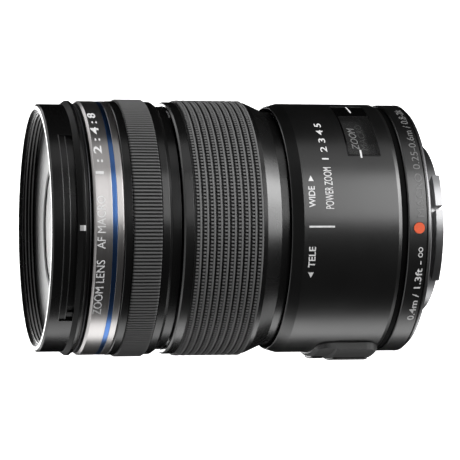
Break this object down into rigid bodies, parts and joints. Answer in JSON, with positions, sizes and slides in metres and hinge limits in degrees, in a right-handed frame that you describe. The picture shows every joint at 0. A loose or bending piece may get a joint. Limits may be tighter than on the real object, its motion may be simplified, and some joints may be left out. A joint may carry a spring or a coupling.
{
  "type": "camera zoom lens",
  "caption": "Compact zoom lens for a mirrorless camera: bayonet mount, sliding and turning zoom ring, focus ring, filter thread, cam-driven glass groups and iris.",
  "frame": {"origin": "centre of the mount flange face, on the optical axis", "axes": "-Y along the optical axis to the front, +Z to the index mark, +X to the button pod"},
  "size_m": [0.0583, 0.0876, 0.057],
  "materials": {
    "satin_black": "satin moulded black",
    "collar_black": "semi-gloss black",
    "retainer_black": "gloss black",
    "ring_black": "satin dark grey",
    "zoom_rubber": "grey rubber",
    "focus_rubber": "grey rubber",
    "button_black": "satin black",
    "seal_rubber": "black rubber",
    "satin_silver": "satin anodised silver",
    "stripe_blue": "blue enamel",
    "chrome": "polished",
    "dot_red": "gloss red-orange",
    "window_clear": "smoked clear",
    "label_grey": "printed grey",
    "coated_glass": "coated optical glass",
    "inner_black": "matt black",
    "tube_grey": "dark anodised",
    "steel": "bright steel",
    "brass": "turned brass",
    "gold": "gold plated",
    "board_green": "solder mask green"
  },
  "bodies": {
    "barrel": {"bayonet_mount": "chrome", "mount_screws": "steel", "contact_block": "inner_black", "contact_pins": "gold", "mount_base": "satin_black", "mount_dot": "dot_red", "barrel_seal": "seal_rubber", "rear_barrel": "satin_black", "mode_window": "window_clear", "button_pod": "satin_black", "main_tube": "tube_grey", "chassis_screws": "steel", "guide_tube": "tube_grey", "front_tube": "collar_black", "filter_ring": "collar_black", "name_ring": "satin_silver", "stripe_ring": "stripe_blue", "front_retainer": "retainer_black", "front_glass": "coated_glass", "second_glass": "coated_glass", "front_cell": "inner_black", "rear_frame": "inner_black", "rear_glass": "coated_glass", "rear_baffle": "inner_black", "main_board": "board_green", "focus_motor": "steel", "guide_rods": "steel", "rod_plate": "inner_black", "zoom_motor": "steel"},
    "focus_ring": {"focus_ring": "collar_black", "focus_grip": "focus_rubber"},
    "mode_sleeve": {"mode_sleeve": "tube_grey", "mode_label": "label_grey", "sleeve_clip": "steel"},
    "zoom_ring": {"zoom_ring": "ring_black", "zoom_grip": "zoom_rubber"},
    "cam_barrel": {"cam_barrel": "tube_grey", "zoom_keys": "brass"},
    "zoom_pinion": {"zoom_pinion": "brass"},
    "variator": {"variator_frame": "inner_black", "variator_glass": "coated_glass", "variator_pins": "brass"},
    "relay": {"relay_frame": "inner_black", "relay_glass": "coated_glass", "relay_pins": "brass", "iris_base": "inner_black"},
    "iris_ring": {"iris_ring": "steel"},
    "lead_screw": {"lead_screw": "brass"},
    "focus_group": {"focus_frame": "inner_black", "focus_glass": "coated_glass"},
    "function_button": {"function_button": "button_black"},
    "macro_button": {"macro_button": "button_black"},
    "iris_blade_1": {"iris_blade_1": "inner_black"},
    "iris_blade_2": {"iris_blade_2": "inner_black"},
    "iris_blade_3": {"iris_blade_3": "inner_black"},
    "iris_blade_4": {"iris_blade_4": "inner_black"},
    "iris_blade_5": {"iris_blade_5": "inner_black"},
    "iris_blade_6": {"iris_blade_6": "inner_black"},
    "iris_blade_7": {"iris_blade_7": "inner_black"}
  },
  "joints": [
    {"name": "focus_turn", "type": "hinge", "parent": "barrel", "child": "focus_ring", "pos_m": [0, 0, 0], "axis": [0, -1, 0], "continuous": true},
    {"name": "mode_slide", "type": "slide", "parent": "barrel", "child": "mode_sleeve", "axis": [0, -1, 0], "range_m": [-0.0018, 0.0018]},
    {"name": "zoom_turn", "type": "hinge", "parent": "mode_sleeve", "child": "zoom_ring", "pos_m": [0, 0, 0], "axis": [0, -1, 0], "range_deg": [-40, 40]},
    {"name": "cam_turn", "type": "hinge", "parent": "barrel", "child": "cam_barrel", "pos_m": [0, 0, 0], "axis": [0, -1, 0], "range_deg": [-40, 40]},
    {"name": "pinion_turn", "type": "hinge", "parent": "barrel", "child": "zoom_pinion", "pos_m": [-0.00684, 0, -0.01879], "axis": [0, -1, 0], "range_deg": [-374, 374]},
    {"name": "variator_slide", "type": "slide", "parent": "barrel", "child": "variator", "axis": [0, -1, 0], "range_m": [-0.006, 0.006]},
    {"name": "relay_slide", "type": "slide", "parent": "barrel", "child": "relay", "axis": [0, -1, 0], "range_m": [-0.004, 0.004]},
    {"name": "iris_turn", "type": "hinge", "parent": "relay", "child": "iris_ring", "pos_m": [0, 0, 0], "axis": [0, -1, 0], "range_deg": [0, 5.48]},
    {"name": "focus_slide", "type": "slide", "parent": "barrel", "child": "focus_group", "axis": [0, -1, 0], "range_m": [-0.0015, 0.0015]},
    {"name": "lead_screw_turn", "type": "hinge", "parent": "barrel", "child": "lead_screw", "pos_m": [-0.00964, 0, 0.01149], "axis": [0, -1, 0], "range_deg": [-541, 541]},
    {"name": "function_press", "type": "slide", "parent": "barrel", "child": "function_button", "axis": [-1, 0, 0], "range_m": [0, 0.0005], "stiffness_N_per_m": 600, "springref_m": -0.0005},
    {"name": "macro_press", "type": "slide", "parent": "barrel", "child": "macro_button", "axis": [-1, 0, 0], "range_m": [0, 0.0004], "stiffness_N_per_m": 600, "springref_m": -0.0005},
    {"name": "blade_1_turn", "type": "hinge", "parent": "relay", "child": "iris_blade_1", "pos_m": [0.014, 0, 0], "axis": [0, -1, 0], "range_deg": [0, 25]},
    {"name": "blade_2_turn", "type": "hinge", "parent": "relay", "child": "iris_blade_2", "pos_m": [0.00873, 0, 0.01095], "axis": [0, -1, 0], "range_deg": [0, 25]},
    {"name": "blade_3_turn", "type": "hinge", "parent": "relay", "child": "iris_blade_3", "pos_m": [-0.00312, 0, 0.01365], "axis": [0, -1, 0], "range_deg": [0, 25]},
    {"name": "blade_4_turn", "type": "hinge", "parent": "relay", "child": "iris_blade_4", "pos_m": [-0.01261, 0, 0.00607], "axis": [0, -1, 0], "range_deg": [0, 25]},
    {"name": "blade_5_turn", "type": "hinge", "parent": "relay", "child": "iris_blade_5", "pos_m": [-0.01261, 0, -0.00607], "axis": [0, -1, 0], "range_deg": [0, 25]},
    {"name": "blade_6_turn", "type": "hinge", "parent": "relay", "child": "iris_blade_6", "pos_m": [-0.00312, 0, -0.01365], "axis": [0, -1, 0], "range_deg": [0, 25]},
    {"name": "blade_7_turn", "type": "hinge", "parent": "relay", "child": "iris_blade_7", "pos_m": [0.00873, 0, -0.01095], "axis": [0, -1, 0], "range_deg": [0, 25]}
  ],
  "couplings": [
    {"joint": "cam_turn", "follows": "zoom_turn", "ratio": 1},
    {"joint": "pinion_turn", "follows": "zoom_turn", "ratio": 9.3333},
    {"joint": "variator_slide", "follows": "zoom_turn", "m_per_rad": -0.0085944},
    {"joint": "relay_slide", "follows": "zoom_turn", "m_per_rad": 0.0057296},
    {"joint": "lead_screw_turn", "follows": "focus_slide", "rad_per_m": 6283.2},
    {"joint": "blade_1_turn", "follows": "iris_turn", "ratio": 4.5637},
    {"joint": "blade_2_turn", "follows": "iris_turn", "ratio": 4.5637},
    {"joint": "blade_3_turn", "follows": "iris_turn", "ratio": 4.5637},
    {"joint": "blade_4_turn", "follows": "iris_turn", "ratio": 4.5637},
    {"joint": "blade_5_turn", "follows": "iris_turn", "ratio": 4.5637},
    {"joint": "blade_6_turn", "follows": "iris_turn", "ratio": 4.5637},
    {"joint": "blade_7_turn", "follows": "iris_turn", "ratio": 4.5637}
  ]
}
